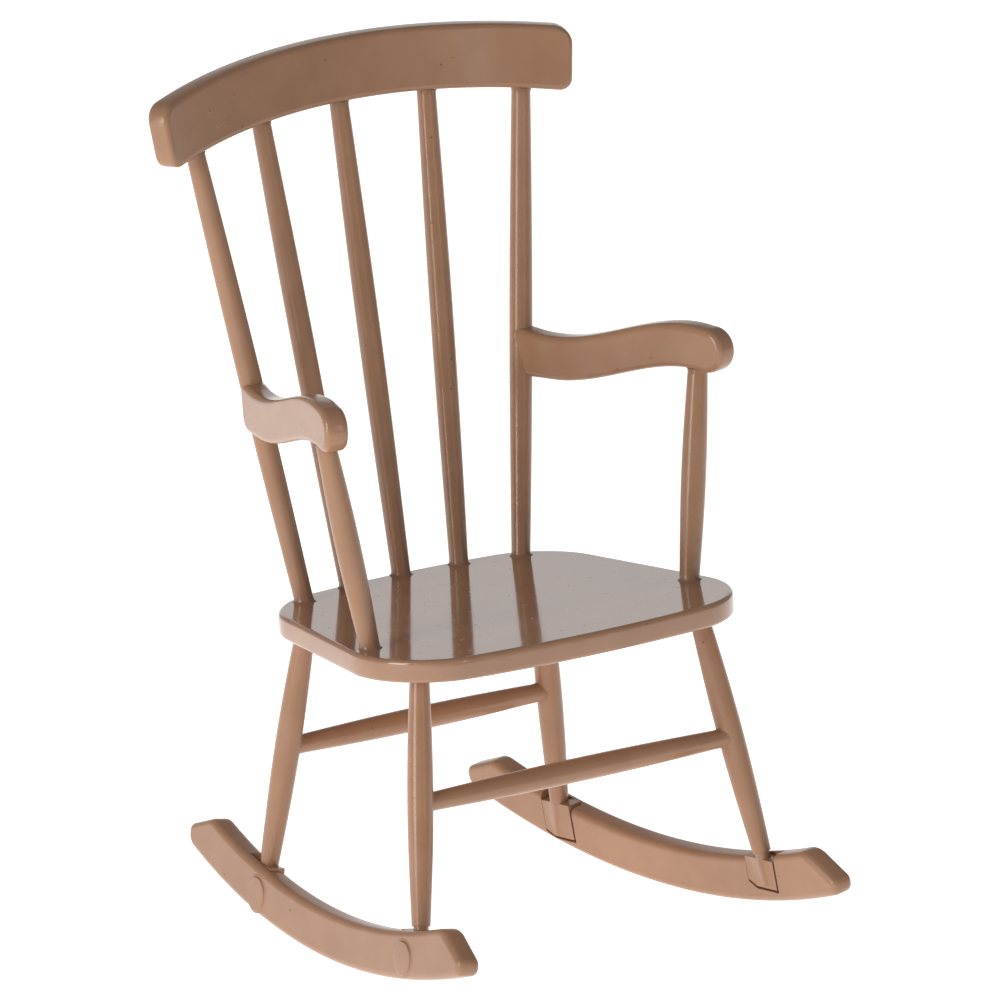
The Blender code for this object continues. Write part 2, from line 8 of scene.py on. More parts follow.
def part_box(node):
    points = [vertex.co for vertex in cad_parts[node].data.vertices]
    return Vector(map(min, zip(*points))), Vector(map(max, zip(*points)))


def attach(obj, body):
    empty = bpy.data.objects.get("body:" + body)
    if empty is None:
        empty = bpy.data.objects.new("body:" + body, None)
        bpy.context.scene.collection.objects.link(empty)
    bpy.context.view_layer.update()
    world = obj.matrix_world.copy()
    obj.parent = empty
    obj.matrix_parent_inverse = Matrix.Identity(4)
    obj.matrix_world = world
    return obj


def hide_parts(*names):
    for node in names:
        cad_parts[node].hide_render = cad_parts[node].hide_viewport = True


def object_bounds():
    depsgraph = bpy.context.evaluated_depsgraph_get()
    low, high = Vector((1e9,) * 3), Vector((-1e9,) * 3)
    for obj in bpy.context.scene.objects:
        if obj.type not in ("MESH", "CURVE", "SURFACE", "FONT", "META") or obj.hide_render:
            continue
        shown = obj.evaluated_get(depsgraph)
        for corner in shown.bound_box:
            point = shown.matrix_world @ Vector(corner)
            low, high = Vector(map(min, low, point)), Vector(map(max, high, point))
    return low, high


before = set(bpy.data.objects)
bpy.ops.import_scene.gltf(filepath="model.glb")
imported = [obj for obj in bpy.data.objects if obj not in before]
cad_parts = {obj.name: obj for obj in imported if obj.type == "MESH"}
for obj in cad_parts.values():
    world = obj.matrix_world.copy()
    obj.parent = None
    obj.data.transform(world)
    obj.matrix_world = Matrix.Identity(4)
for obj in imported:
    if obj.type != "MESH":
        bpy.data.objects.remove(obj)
cad_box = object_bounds()

# The camera: a long lens a little above the chair and to the sitter's right, so that the rails and
# rods stay almost parallel. It aims just above the middle of the chair.
MM = 0.001  # every position and size is in metres
CAMERA_TURN = math.radians(-33.70)
CAMERA_RISE = math.radians(18.51)
CAMERA_DISTANCE = 3.5609
CAMERA_LENS = 971.1
AIM_OFFSET = Vector((1.55 * MM, 0, 1.75 * MM))  # from the middle of the chair's box

box_middle = (Vector(cad_box[0]) + Vector(cad_box[1])) / 2
aim = box_middle + AIM_OFFSET
towards_camera = Vector((
    math.sin(CAMERA_TURN) * math.cos(CAMERA_RISE),
    -math.cos(CAMERA_TURN) * math.cos(CAMERA_RISE),
    math.sin(CAMERA_RISE),
))
camera = bpy.data.objects.new("camera", bpy.data.cameras.new("camera"))
bpy.context.scene.collection.objects.link(camera)
camera.data.lens = CAMERA_LENS
camera.location = aim + towards_camera * CAMERA_DISTANCE
camera.rotation_euler = towards_camera.to_track_quat("Z", "Y").to_euler()
bpy.context.scene.camera = camera

# The seat: a thin cast slab, wider in front than behind, with big round corners and bowed ends. It
# was sprayed with the rest of the chair, so its rims are soft, and its top is the glossiest part.
# Every piece wears the same enamel, whose values and helpers come first here.
SEAT_TOP = 46.3 * MM
SEAT_THICK = 3.1 * MM
SEAT_FRONT = -23.3 * MM
SEAT_BACK = 18.9 * MM
SEAT_FRONT_HALF = 30.5 * MM
SEAT_BACK_HALF = 22.9 * MM
SEAT_CORNER = 9.9 * MM
SEAT_FRONT_BOW = 3.3 * MM
SEAT_BACK_BOW = 2.1 * MM
SEAT_RIM = 0.6 * MM
SEAT_SPACING = 1.2 * MM  # between the points along an edge
SEAT_ROUGH = 0.12
SEAT_COAT = 0.5
SEAT_SPECKS = 0.95
LEAN = math.radians(6)  # how far the standing chair leans back on its rockers
FLAT_BORDER = 0.12 * MM  # a flat strip next to each soft rim, so that the face inside stays flat
CORNER_STEPS = 14
NEAR = 1e-7  # heights and points as close as this count as the same
WELD = 1e-6  # points as close as this are joined

PAINT_THIN = (0.385, 0.206, 0.118, 1)
PAINT_THICK = (0.358, 0.188, 0.106, 1)
# Painted shade: the joints darken towards this colour, partly for the thicker paint pooled there and
# partly for the shade in those tight corners.
POOLED_PAINT_AND_SHADE = (0.150, 0.075, 0.043, 1)
POOL_AND_SHADE_SHARE = 0.45  # how far the joints go towards that colour, for pooled paint and painted shade
DIRT = (0.09, 0.055, 0.04, 1)
DIRT_STRENGTH = 0.75
DIRT_ROUGH = 0.3
PAINT_IOR = 1.45
COAT_ROUGH = 0.05
SMEAR_ROUGH = 0.03  # how far the smears take the roughness either way
CLOUDS = 170  # scales of the noises and of the cells of spots, per metre
SMEARS = 95
WAVES = 150
PEEL = 900
SPECK_CELLS = 430
PIT_CELLS = 610
SPECK_WIDE = 0.085  # radius of the spots, as a share of a cell
SPECK_FOOT = 0.12
PIT_WIDE = 0.1
WAVE_HIGH = 0.02 * MM
PEEL_HIGH = 0.004 * MM
SPECK_HIGH = 0.03 * MM
PIT_DEEP = 0.02 * MM


def enamel(name, rough=0.235, coat=0.1, specks=0.6):
    """Sprayed gloss enamel: faint clouds, smears, slow waves, orange peel, specks of dust, pits, and
    darker joints, partly pooled paint and partly painted shade. Specks is the share of the cells that
    have a spot."""
    material = bpy.data.materials.new(name)
    material.use_nodes = True
    nodes = material.node_tree.nodes
    wire = material.node_tree.links.new
    shader = nodes["Principled BSDF"]
    shader.inputs["IOR"].default_value = PAINT_IOR
    shader.inputs["Coat Weight"].default_value = coat
    shader.inputs["Coat Roughness"].default_value = COAT_ROUGH
    place = nodes.new("ShaderNodeTexCoord").outputs["Object"]

    def noise(scale, detail):
        node = nodes.new("ShaderNodeTexNoise")
        node.inputs["Scale"].default_value = scale
        node.inputs["Detail"].default_value = detail
        wire(place, node.inputs["Vector"])
        return node.outputs["Fac"]

    def spread(value, low, high, to_low, to_high):
        """A smooth step from one value to another while the input goes from low to high."""
        node = nodes.new("ShaderNodeMapRange")
        node.interpolation_type = "SMOOTHSTEP"
        wire(value, node.inputs["Value"])
        node.inputs["From Min"].default_value = low
        node.inputs["From Max"].default_value = high
        node.inputs["To Min"].default_value = to_low
        node.inputs["To Max"].default_value = to_high
        return node.outputs["Result"]

    def maths(operation, first, second):
        node = nodes.new("ShaderNodeMath")
        node.operation = operation
        node.use_clamp = operation != "SUBTRACT"
        for socket, value in zip(node.inputs, (first, second)):
            if isinstance(value, float):
                socket.default_value = value
            else:
                wire(value, socket)
        return node.outputs["Value"]

    def colours(node):
        return [socket for socket in node.inputs if socket.type == "RGBA"]

    def blend(amount, first, second):
        node = nodes.new("ShaderNodeMix")
        node.data_type = "RGBA"
        wire(amount, node.inputs["Factor"])
        for socket, value in zip(colours(node), (first, second)):
            if isinstance(value, tuple):
                socket.default_value = value
            else:
                wire(value, socket)
        return [socket for socket in node.outputs if socket.type == "RGBA"][0]

    def pits(scale, share, size):
        """A mask of small round spots, one in each of a share of the cells."""
        node = nodes.new("ShaderNodeTexVoronoi")
        node.inputs["Scale"].default_value = scale
        wire(place, node.inputs["Vector"])
        split = nodes.new("ShaderNodeSeparateColor")
        wire(node.outputs["Color"], split.inputs["Color"])
        chosen = maths("LESS_THAN", split.outputs["Red"], share)
        spot = spread(node.outputs["Distance"], size * 0.5, size, 1.0, 0.0)
        return maths("MULTIPLY", chosen, spot)

    def bump(height, deep, after=None):
        node = nodes.new("ShaderNodeBump")
        node.inputs["Strength"].default_value = 1.0
        node.inputs["Distance"].default_value = deep
        wire(height, node.inputs["Height"])
        if after:
            wire(after, node.inputs["Normal"])
        return node.outputs["Normal"]

    clouds = spread(noise(CLOUDS, 3.0), 0.35, 0.65, 0.0, 1.0)
    colour = blend(clouds, PAINT_THIN, PAINT_THICK)
    # Painted shade in the joints, together with the pooled paint there: darker towards each end of a
    # rod.
    pooled_and_shade = nodes.new("ShaderNodeAttribute")
    pooled_and_shade.attribute_name = "pooled_and_shade"
    colour = blend(spread(pooled_and_shade.outputs["Fac"], 0.0, 1.0, 0.0, POOL_AND_SHADE_SHARE), colour, POOLED_PAINT_AND_SHADE)
    dirt = maths("MULTIPLY", pits(SPECK_CELLS, specks, SPECK_WIDE), DIRT_STRENGTH)
    colour = blend(dirt, colour, DIRT)
    wire(colour, shader.inputs["Base Color"])

    smears = spread(noise(SMEARS, 2.0), 0.3, 0.7, rough - SMEAR_ROUGH, rough + SMEAR_ROUGH)
    wire(maths("ADD", smears, maths("MULTIPLY", dirt, DIRT_ROUGH)), shader.inputs["Roughness"])

    surface = bump(noise(WAVES, 1.0), WAVE_HIGH)
    surface = bump(noise(PEEL, 1.0), PEEL_HIGH, surface)
    surface = bump(pits(SPECK_CELLS, specks, SPECK_FOOT), SPECK_HIGH, surface)
    surface = bump(maths("SUBTRACT", 1.0, pits(PIT_CELLS, specks, PIT_WIDE)), PIT_DEEP, surface)
    wire(surface, shader.inputs["Normal"])
    return material


def finish_piece(name, bm, matrix, node, material):
    """Turns a bmesh into the piece that stands for a CAD node."""
    bm.transform(matrix)
    mesh = bpy.data.meshes.new(name)
    bm.to_mesh(mesh)
    bm.free()
    mesh.shade_smooth()
    piece = bpy.data.objects.new(name, mesh)
    bpy.context.scene.collection.objects.link(piece)
    mesh.materials.append(material)
    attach(piece, "root")
    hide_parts(node)
    return piece


def filleted(corners, steps):
    """A closed outline through (point, radius) corners, with each corner rounded to its radius."""
    outline = []
    for i, (point, radius) in enumerate(corners):
        if not radius:
            outline.append(point)
            continue
        back = (corners[i - 1][0] - point).normalized()
        ahead = (corners[(i + 1) % len(corners)][0] - point).normalized()
        half = back.angle(ahead) / 2
        centre = point + (back + ahead).normalized() * radius / math.sin(half)
        first = point + back * radius / math.tan(half) - centre
        last = point + ahead * radius / math.tan(half) - centre
        sweep = first.angle_signed(last)
        for step in range(steps + 1):
            arm = first.copy()
            arm.rotate(Matrix.Rotation(-sweep * step / steps, 2))
            outline.append(centre + arm)
    return outline


def face_outwards(bm):
    bmesh.ops.recalc_face_normals(bm, faces=bm.faces)
    if bm.calc_volume(signed=True) < 0:
        bmesh.ops.reverse_faces(bm, faces=bm.faces)


def plain_plate(outline, low, high):
    """A flat plate in the XY plane, between two heights."""
    bm = bmesh.new()
    face = bm.faces.new([bm.verts.new((point.x, point.y, low)) for point in outline])
    grown = bmesh.ops.extrude_face_region(bm, geom=[face])
    top = [item for item in grown["geom"] if isinstance(item, bmesh.types.BMVert)]
    bmesh.ops.translate(bm, vec=(0, 0, high - low), verts=top)
    face_outwards(bm)
    return bm


def soft_plate(outline, low, high, rim, segments=5):
    """A plain plate with the edges round both of its faces rounded."""
    bm = plain_plate(outline, low, high)
    edges = [edge for edge in bm.edges if abs(edge.verts[0].co.z - edge.verts[1].co.z) < NEAR]
    bmesh.ops.bevel(
        bm,
        geom=edges,
        offset=rim,
        offset_type="OFFSET",
        affect="EDGES",
        segments=segments,
        profile=0.5,
        material=-1,
    )
    flats = [face for face in bm.faces if len(face.verts) > 8]  # the others have few corners
    bmesh.ops.inset_region(bm, faces=flats, thickness=FLAT_BORDER)
    return bm


def seat_outline():
    corners = [
        (Vector((-SEAT_FRONT_HALF, SEAT_FRONT)), SEAT_CORNER),
        (Vector((SEAT_FRONT_HALF, SEAT_FRONT)), SEAT_CORNER),
        (Vector((SEAT_BACK_HALF, SEAT_BACK)), SEAT_CORNER),
        (Vector((-SEAT_BACK_HALF, SEAT_BACK)), SEAT_CORNER),
    ]
    straight = filleted(corners, CORNER_STEPS)
    outline = []
    for point, after in zip(straight, straight[1:] + straight[:1]):
        outline.append(point)
        parts = max(1, round((after - point).length / SEAT_SPACING))
        outline += [point.lerp(after, i / parts) for i in range(1, parts)]
    for point in outline:
        share = (point.y - SEAT_FRONT) / (SEAT_BACK - SEAT_FRONT)
        half = SEAT_FRONT_HALF * (1 - share) + SEAT_BACK_HALF * share
        bow = SEAT_BACK_BOW * share - SEAT_FRONT_BOW * (1 - share)
        point.y += bow * (1 - (point.x / half) ** 2)
    return outline


seat_mesh = soft_plate(seat_outline(), SEAT_TOP - SEAT_THICK, SEAT_TOP, SEAT_RIM)

# The chair is worked out level, and the CAD seat says where it stands once it has leaned back.
leaned = Matrix.Rotation(-LEAN, 4, "X")
seat_points = [leaned @ vert.co for vert in seat_mesh.verts]
seat_middle = Vector([
    (min(point[axis] for point in seat_points) + max(point[axis] for point in seat_points)) / 2
    for axis in range(3)
])
cad_seat_low, cad_seat_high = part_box("seat")
cad_seat_middle = (Vector(cad_seat_low) + Vector(cad_seat_high)) / 2
stand = Matrix.Translation(cad_seat_middle - seat_middle) @ leaned

seat_paint = enamel("seat_enamel", SEAT_ROUGH, SEAT_COAT, SEAT_SPECKS)
finish_piece("seat_slab", seat_mesh, stand, "seat", seat_paint)

# The back rods: five alike round rods, a little thicker in the middle, that fan out from the seat to
# the crest rail. Each is pressed into its holes, and the paint has filled the corners round it.
ROD_END = 2.55 * MM
ROD_MIDDLE = 3.1 * MM
ROD_FOOT_ARC = 54.0 * MM
ROD_FOOT_Y = 19.6 * MM
ROD_FOOT_STEP = math.radians(9.3)
ROD_HEAD_STEP = math.radians(9.6)
ROD_SIDES = 48
CREST_ARC = 78.5 * MM
CREST_Y = 27.9 * MM
CREST_BOTTOM = 109.6 * MM
CREST_ARCH = 184.0 * MM
CREST_RAKE = 0.12
CREST_FLARE = 0.75
SUNK = (1.0 * MM, 1.0 * MM)  # depth of the foot and of the head in what holds them
PLUG_SHARE = 0.4  # radius of the sunk ends, as a share of the rod's least diameter
FILLET_HIGH = 0.75 * MM
FILLET_WIDE = 0.34 * MM
FILLET_STEPS = 7
FILLET_BEND = 5 * FILLET_HIGH  # how far along the rod its rings bend to follow the surface
# How far from each end of a rod the painted shade and pooled paint reach.
POOL_AND_SHADE_HIGH = 1.3 * FILLET_HIGH
SKIRT = 0.08 * MM  # how far a fillet reaches below the surface
ROD_RINGS = 26


def axis_matrix(start, end):
    """Z runs from start to end."""
    turn = (end - start).to_track_quat("Z", "Y").to_matrix().to_4x4()
    return Matrix.Translation(start) @ turn


def flat_at(normal):
    """How far along the rod, from where its axis meets a flat surface, the surface lies."""

    def rise(x, y):
        return -(normal.x * x + normal.y * y) / normal.z

    return rise


def kept_in(value):
    """The value, or 0 or 1 where it goes past them."""
    return min(max(value, 0), 1)


def swelling(share, foot_wide, middle_wide, head_wide):
    ends = foot_wide * (1 - share) + head_wide * share
    swell = middle_wide - (foot_wide + head_wide) / 2
    return (ends + swell * math.sin(math.pi * share)) / 2


def turned(profile):
    """A profile of (radius, height) points turned round Z into a solid."""
    bm = bmesh.new()
    points = [bm.verts.new((out, 0, z)) for out, z in profile]
    edges = [bm.edges.new(pair) for pair in zip(points, points[1:])]
    bmesh.ops.spin(
        bm,
        geom=points + edges,
        axis=(0, 0, 1),
        cent=(0, 0, 0),
        angle=2 * math.pi,
        steps=ROD_SIDES,
        use_merge=True,
    )
    bmesh.ops.remove_doubles(bm, verts=bm.verts, dist=WELD)
    face_outwards(bm)
    return bm


def painted_rod(foot, head, wide, foot_rise, head_rise, deep=SUNK, fillets=(1, 1), across=None):
    """A round rod between two surfaces, in its own frame with Z from foot to head. Its ends are sunk
    into the surfaces, and paint fillets spread over them. Where the head goes into a thin rail, its
    fillet spreads along the rail only, and not in the direction across."""
    length = (head - foot).length

    def radius(z):
        share = kept_in(z / length)
        extra = 0
        for distance, size in ((z, fillets[0]), (length - z, fillets[1])):
            near = kept_in(1 - distance / FILLET_HIGH)
            extra += size * FILLET_WIDE * (1 - math.sqrt(1 - near * near))
        return swelling(share, *wide) + extra

    fillet = [FILLET_HIGH * i / FILLET_STEPS for i in range(FILLET_STEPS)]
    free = length - 2 * FILLET_HIGH
    heights = [-SKIRT] + fillet
    heights += [FILLET_HIGH + free * i / ROD_RINGS for i in range(ROD_RINGS + 1)]
    heights += [length - z for z in reversed(fillet)] + [length + SKIRT]
    narrow = PLUG_SHARE * min(wide)
    profile = [(0, -deep[0]), (narrow, -deep[0]), (narrow, -2 * SKIRT)]
    profile += [(radius(z), z) for z in heights]
    profile += [(narrow, length + 2 * SKIRT), (narrow, length + deep[1]), (0, length + deep[1])]
    bm = turned(profile)
    pooled_and_shade = bm.verts.layers.float.new("pooled_and_shade")
    for vert in bm.verts:
        x, y, z = vert.co
        if across and z > length - FILLET_HIGH:
            # The swell of the fillet is taken off again where it would leave the rail.
            out = Vector((x, y, 0))
            if out.length > wide[2] / 2:
                share = (out.normalized().dot(across)) ** 2
                out *= 1 - share * (1 - wide[2] / 2 / out.length)
                vert.co.x, vert.co.y = out.x, out.y
        for distance, rise, size in ((z, foot_rise, fillets[0]), (length - z, head_rise, fillets[1])):
            near = kept_in(1 - distance / FILLET_BEND)
            vert.co.z += near * near * (3 - 2 * near) * rise(x, y)
            # Painted shade and pooled paint: the colour darkens near each end of the rod, where it
            # meets what holds it.
            dark = kept_in(1 - distance / POOL_AND_SHADE_HIGH)
            vert[pooled_and_shade] = max(vert[pooled_and_shade], size * dark)
    return bm


def crest_point(angle, up, depth):
    """A point of the rail at an angle round its arc, a height above its lower edge at the middle
    and a depth behind its middle surface."""
    radius = CREST_ARC + depth
    arch = (CREST_ARC * angle) ** 2 / (2 * CREST_ARCH)
    angle *= 1 + CREST_FLARE * up / CREST_ARCH
    back = CREST_Y - CREST_ARC + radius * math.cos(angle) + CREST_RAKE * (up - arch)
    return Vector((radius * math.sin(angle), back, CREST_BOTTOM + up - arch))


def crest_depth(angle):
    return Vector((math.sin(angle), math.cos(angle), 0))


def crest_under(angle):
    """The direction square to the rail's lower edge."""
    small = 0.001
    along = crest_point(angle + small, 0, 0) - crest_point(angle - small, 0, 0)
    return along.cross(crest_depth(angle)).normalized()


LEVEL = Vector((0, 0, 1))
back_rods = {}
for place, rod_name in (
    (-2, "outer_right"),
    (-1, "inner_right"),
    (0, "centre"),
    (1, "inner_left"),
    (2, "outer_left"),
):
    turn = place * ROD_FOOT_STEP
    rod_foot = Vector((
        ROD_FOOT_ARC * math.sin(turn),
        ROD_FOOT_Y - ROD_FOOT_ARC * (1 - math.cos(turn)),
        SEAT_TOP,
    ))
    rod_head = crest_point(place * ROD_HEAD_STEP, 0, 0)
    back_rods[place] = (rod_foot, rod_head)
    upright = axis_matrix(rod_foot, rod_head)
    unturn = upright.to_3x3().inverted()
    rod_mesh = painted_rod(
        rod_foot,
        rod_head,
        (ROD_END, ROD_MIDDLE, ROD_END),
        flat_at(unturn @ LEVEL),
        flat_at(unturn @ crest_under(place * ROD_HEAD_STEP)),
        across=unturn @ crest_depth(place * ROD_HEAD_STEP),
    )
    node = "back_spindle_" + rod_name
    finish_piece("back_rod_" + rod_name, rod_mesh, stand @ upright, node, enamel(node + "_enamel"))

# The crest rail: a flat bar bent round the sitter's shoulders and arched along both long edges. Its
# corners are rounded, and the paint has softened every edge.
CREST_HIGH = 8.5 * MM
CREST_THICK = 3.2 * MM
CREST_HALF_LENGTH = 33.0 * MM
CREST_TOP_CORNER = 2.3 * MM
CREST_LOW_CORNER = 1.8 * MM
CREST_RIM = 0.7 * MM
CREST_CORNER_STEPS = 8
CREST_STATIONS = 64

crest_corners = [
    (Vector((-CREST_HALF_LENGTH, 0)), CREST_LOW_CORNER),
    (Vector((CREST_HALF_LENGTH, 0)), CREST_LOW_CORNER),
    (Vector((CREST_HALF_LENGTH, CREST_HIGH)), CREST_TOP_CORNER),
    (Vector((-CREST_HALF_LENGTH, CREST_HIGH)), CREST_TOP_CORNER),
]
crest_outline = filleted(crest_corners, CREST_CORNER_STEPS)
crest_mesh = soft_plate(crest_outline, -CREST_THICK / 2, CREST_THICK / 2, CREST_RIM)
for station in range(1, CREST_STATIONS):
    cut_at = CREST_HALF_LENGTH * (2 * station / CREST_STATIONS - 1)
    bmesh.ops.bisect_plane(
        crest_mesh,
        geom=crest_mesh.verts[:] + crest_mesh.edges[:] + crest_mesh.faces[:],
        plane_co=(cut_at, 0, 0),
        plane_no=(1, 0, 0),
        dist=NEAR,
    )
for vert in crest_mesh.verts:
    # The plate's thickness, its Z, becomes depth towards the front.
    vert.co = crest_point(vert.co.x / CREST_ARC, vert.co.y, -vert.co.z)
face_outwards(crest_mesh)
finish_piece("crest_bar", crest_mesh, stand, "crest_rail", enamel("crest_rail_enamel"))

# The arms: flat blades on edge with a slow S along them and a round front end. The outer back rod
# runs up through the rear of each and stands out behind it and a little on the inner side, and a
# post of its own carries the front.
ARM_HIGH = 6.0 * MM
ARM_THICK = 3.3 * MM
ARM_REAR_Z = 72.95 * MM
ARM_RISE = 4.3 * MM
ARM_RISE_FROM = 6.0 * MM
ARM_CROWN = 1.0 * MM
ARM_DROOP = 1.0 * MM
ARM_NOSE = 5.6 * MM
ARM_TAIL = 0.6 * MM
ARM_TAIL_CORNER = 1.1 * MM
ARM_HEEL_CORNER = 2.2 * MM
ARM_FLARE = 0.7 * MM
ARM_FLARE_RUN = 5.0 * MM
ARM_OUTSET = 0.45 * MM
ARM_RIM = 0.85 * MM
ARM_STATIONS = 30
ARM_NOSE_STEPS = 20
ARM_CORNER_STEPS = 5
ARM_ROUGH = 0.22
POST_END = 2.65 * MM
POST_MIDDLE = 3.35 * MM
POST_FOOT = Vector((25.3 * MM, -11.4 * MM))
POST_HEAD = Vector((29.4 * MM, -10.1 * MM))
SIDES = {"right": -1, "left": 1}


def frame_matrix(origin, along, up):
    """X runs along, Y runs up, and Z is square to both."""
    x = along.normalized()
    z = x.cross(up).normalized()
    y = z.cross(x)
    return Matrix.Translation(origin) @ Matrix((x, y, z)).transposed().to_4x4()


def arm_middle(distance, length):
    """The height of the arm's middle line: level behind, then a smooth rise to the front, and a
    slight droop of the nose."""
    crown = length - ARM_CROWN
    share = kept_in((distance - ARM_RISE_FROM) / (crown - ARM_RISE_FROM))
    past = max(distance - crown, 0) / (ARM_CROWN + ARM_NOSE)
    return ARM_REAR_Z + ARM_RISE * share * share * (3 - 2 * share) - ARM_DROOP * past * past


def arm_top(distance, length):
    flare = max(1 - distance / ARM_FLARE_RUN, 0)
    return arm_middle(distance, length) + ARM_HIGH / 2 + ARM_FLARE * flare * flare


def arm_outline(length, rake):
    """Along from the back rod, and up from the rear end's middle. The rear end is cut along the back
    rod, which moves forwards by the rake for each unit of height."""
    reach = length + ARM_NOSE - ARM_HIGH / 2
    run = reach - ARM_HEEL_CORNER
    stations = [ARM_HEEL_CORNER + run * i / ARM_STATIONS for i in range(ARM_STATIONS + 1)]
    middles = [arm_middle(x, length) - ARM_REAR_Z for x in stations]
    under = [Vector((x, z - ARM_HIGH / 2)) for x, z in zip(stations, middles)]
    over = [Vector((x, arm_top(x, length) - ARM_REAR_Z)) for x in stations]
    nose = []
    for i in range(1, ARM_NOSE_STEPS):
        angle = math.pi * (i / ARM_NOSE_STEPS - 0.5)
        turn = Vector((math.cos(angle), math.sin(angle))) * ARM_HIGH / 2
        nose.append(Vector((reach, middles[-1])) + turn)
    top = arm_top(0, length) - ARM_REAR_Z
    low, high = (Vector((-ARM_TAIL + rake * z, z)) for z in (-ARM_HIGH / 2, top))
    corners = [(low, ARM_HEEL_CORNER)]
    corners += [(point, 0) for point in under + nose + over[::-1]]
    corners.append((high, ARM_TAIL_CORNER))
    return filleted(corners, ARM_CORNER_STEPS)


for side_name, side in SIDES.items():
    rod_foot, rod_head = back_rods[2 * side]
    share = (ARM_REAR_Z - rod_foot.z) / (rod_head.z - rod_foot.z)
    rod_here = rod_foot.lerp(rod_head, share)
    start = Vector((rod_here.x + side * ARM_OUTSET, rod_here.y))
    ahead = Vector((side * POST_HEAD.x, POST_HEAD.y)) - start
    length = ahead.length
    lean_back = rod_head - rod_foot
    rake = (lean_back.x * ahead.x + lean_back.y * ahead.y) / length / lean_back.z
    arm_mesh = soft_plate(arm_outline(length, rake), -ARM_THICK / 2, ARM_THICK / 2, ARM_RIM)
    origin = Vector((start.x, start.y, ARM_REAR_Z))
    matrix = stand @ frame_matrix(origin, Vector((ahead.x, ahead.y, 0)), LEVEL)
    node = "arm_" + side_name
    finish_piece("arm_blade_" + side_name, arm_mesh, matrix, node, enamel(node + "_enamel", ARM_ROUGH))

    small = 0.1 * MM
    slope = (arm_middle(length + small, length) - arm_middle(length - small, length)) / (2 * small)
    under_arm = arm_middle(length, length) - ARM_HIGH / 2
    post_foot = Vector((side * POST_FOOT.x, POST_FOOT.y, SEAT_TOP))
    post_head = Vector((side * POST_HEAD.x, POST_HEAD.y, under_arm))
    upright = axis_matrix(post_foot, post_head)
    unturn = upright.to_3x3().inverted()
    arm_under = Vector((-slope * ahead.x / length, -slope * ahead.y / length, 1))
    post_mesh = painted_rod(
        post_foot,
        post_head,
        (POST_END, POST_MIDDLE, POST_END),
        flat_at(unturn @ LEVEL),
        flat_at(unturn @ arm_under),
        across=unturn @ Vector((-ahead.y, ahead.x, 0)).normalized(),
    )
    node = "arm_post_" + side_name
    finish_piece("arm_rod_" + side_name, post_mesh, stand @ upright, node, enamel(node + "_enamel"))

# The rockers: bars cut to two arcs and canted with the legs. The front end is chamfered and blunt,
# the rear end is rounded, and two slots in the inner face take the flat tabs of the legs.
LEG_FEET = {"front": Vector((27.0 * MM, -22.4 * MM)), "rear": Vector((23.1 * MM, 20.1 * MM))}
LEG_TOPS = {"front": Vector((22.1 * MM, -18.0 * MM)), "rear": Vector((18.5 * MM, 14.8 * MM))}
FOOT_Z = 10.95 * MM
ROCKER_THICK = 3.3 * MM
ROCKER_FRONT = 36.8 * MM
ROCKER_REAR = -40.0 * MM
ROCKER_BOTTOM_ARC = 118.8 * MM
ROCKER_BOTTOM = Vector((2.9 * MM, -8.6 * MM))
ROCKER_TOP_ARC = 106.7 * MM
ROCKER_TOP = Vector((2.0 * MM, -2.4 * MM))
ROCKER_NOSE = 1.9 * MM
ROCKER_CHAMFER = 5.6 * MM
ROCKER_TAIL = 2.5 * MM
ROCKER_TAIL_CUT = 6.2 * MM
ROCKER_NOSE_CORNER = 1.2 * MM
ROCKER_CHAMFER_CORNER = 3.2 * MM
ROCKER_HEEL_CORNER = 1.9 * MM
ROCKER_TAIL_CORNER = 1.1 * MM
ROCKER_CROWN_CORNER = 2.6 * MM
ROCKER_RIM = 0.9 * MM
ROCKER_STATIONS = 46
ROCKER_CORNER_STEPS = 7
ROCKER_RIM_STEPS = 4
LEG_INSET = 0.8 * MM
TAB_WIDE = 5.7 * MM
TAB_DEEP = 2.1 * MM
TAB_DROP = 5.0 * MM
TAB_GAP = 0.35 * MM
TAB_CUT = 1.6 * MM
TAB_LOW = 0.3 * MM
SLOT_ROOF = 4.0 * MM
SLOT_EDGE = 0.09 * MM
SLOT_PLAY = 0.08 * MM  # behind the tab
SLOT_DEEPER = 0.1 * MM  # than the tab
SLOT_START = 1.0 * MM  # in front of the rocker's inner face
SLOT_BEND = math.radians(38)  # edges that bend more than this are softened
ROCKER_CREASE = math.radians(40)  # edges that bend more than this are shaded as sharp
ROCKER_ROUGH = 0.31


def rocker_frame(side):
    """Origin on the rocker's inner face halfway between the feet, X forwards, Y up along the legs.
    Z points to the sitter's right, so it is outwards on the right and inwards on the left."""
    feet = {end: Vector((side * foot.x, foot.y, FOOT_Z)) for end, foot in LEG_FEET.items()}
    lean = Vector((0, 0, 0))
    for end, top in LEG_TOPS.items():
        lean += (Vector((side * top.x, top.y, SEAT_TOP - SEAT_THICK)) - feet[end]).normalized()
    middle = (feet["front"] + feet["rear"]) / 2
    matrix = frame_matrix(middle, feet["front"] - feet["rear"], lean)
    outwards = -1 if side > 0 else 1
    return matrix @ Matrix.Translation((0, 0, -outwards * LEG_INSET)), outwards


def foot_along(end):
    half = (LEG_FEET["front"] - LEG_FEET["rear"]).length / 2
    return half if end == "front" else -half


def arc_height(x, low, radius):
    return low.y + radius - math.sqrt(radius**2 - (x - low.x) ** 2)


